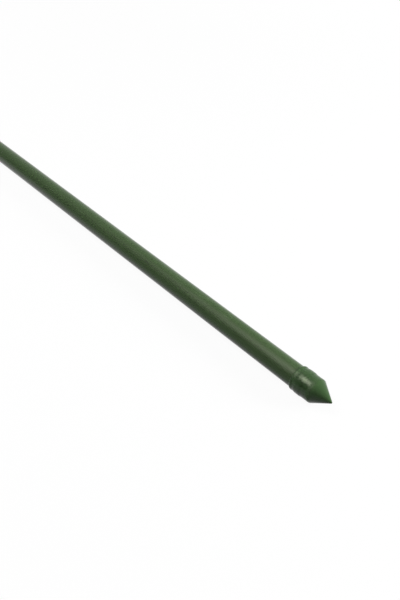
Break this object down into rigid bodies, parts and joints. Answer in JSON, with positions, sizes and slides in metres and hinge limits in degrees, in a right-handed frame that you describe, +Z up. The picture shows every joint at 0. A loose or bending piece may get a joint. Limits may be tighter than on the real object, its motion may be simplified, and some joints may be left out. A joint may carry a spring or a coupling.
{
  "type": "plant stake",
  "caption": "Straight round plant stake: plastic-coated steel tube with a moulded point to push into the soil and a flat-crowned cap on the other end.",
  "frame": {"origin": "on the surface the stake lies on, below the middle of its length", "axes": "+X along the stake towards its point, +Y across it, +Z up from the surface it lies on"},
  "size_m": [1.2, 0.0182, 0.0182],
  "materials": {
    "steel": "zinc-coated strip, dull grey",
    "coating": "extruded polyethylene, dark green, satin",
    "moulding": "moulded polyethylene, dark green, semi-gloss"
  },
  "bodies": {
    "root": {"steel_tube": "steel", "plastic_coating": "coating", "ground_tip": "moulding", "top_cap": "moulding"}
  },
  "joints": []
}
